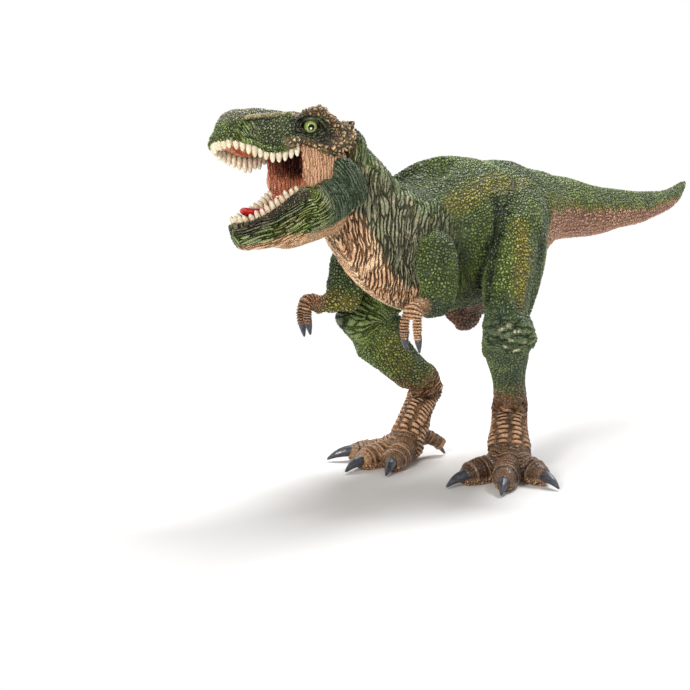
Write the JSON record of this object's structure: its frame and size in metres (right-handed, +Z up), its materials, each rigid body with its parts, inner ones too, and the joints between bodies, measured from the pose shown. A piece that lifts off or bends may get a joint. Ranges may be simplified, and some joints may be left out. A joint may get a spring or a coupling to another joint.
{
  "type": "toy dinosaur figure",
  "caption": "Hand-painted toy meat-eating dinosaur striding on two legs, head turned aside, with a roaring mouth whose lower jaw closes on a hinge.",
  "frame": {"origin": "on the floor, under the centre of the figure's bounding box", "axes": "+Z up; the snout end is at -Y and the tail's tip at +Y; the figure's own left side is +X"},
  "size_m": [0.0934, 0.2832, 0.1367],
  "materials": {
    "skin": "matt, green with tan throat and belly, dark wash in the scales",
    "scutes": "matt, brown with dark bands",
    "flesh": "satin pink, dark in the throat",
    "tongue": "glossy red",
    "ivory": "glossy ivory",
    "eye": "glossy green iris with a black pupil",
    "horn": "satin slate grey",
    "steel": "plain"
  },
  "bodies": {
    "figure": {"torso": "skin", "tail": "skin", "skull": "skin", "left_leg": "skin", "right_leg": "skin", "left_arm": "skin", "right_arm": "skin", "left_foot": "scutes", "right_foot": "scutes", "mouth_lining": "flesh", "upper_teeth": "ivory", "eye_left": "eye", "eye_right": "eye", "jaw_pin": "steel", "left_inner_toe_claw": "horn", "left_middle_toe_claw": "horn", "left_outer_toe_claw": "horn", "left_rear_toe_claw": "horn", "left_finger_claw_1": "horn", "left_finger_claw_2": "horn", "right_inner_toe_claw": "horn", "right_middle_toe_claw": "horn", "right_outer_toe_claw": "horn", "right_rear_toe_claw": "horn", "right_finger_claw_1": "horn", "right_finger_claw_2": "horn"},
    "jaw": {"lower_jaw": "skin", "lower_teeth": "ivory", "tongue": "tongue"}
  },
  "joints": [
    {"name": "jaw_hinge", "type": "hinge", "parent": "figure", "child": "jaw", "pos_m": [-0.00604, -0.1018, 0.11503], "axis": [-0.9348, 0.2885, -0.2074], "range_deg": [0, 26]}
  ]
}
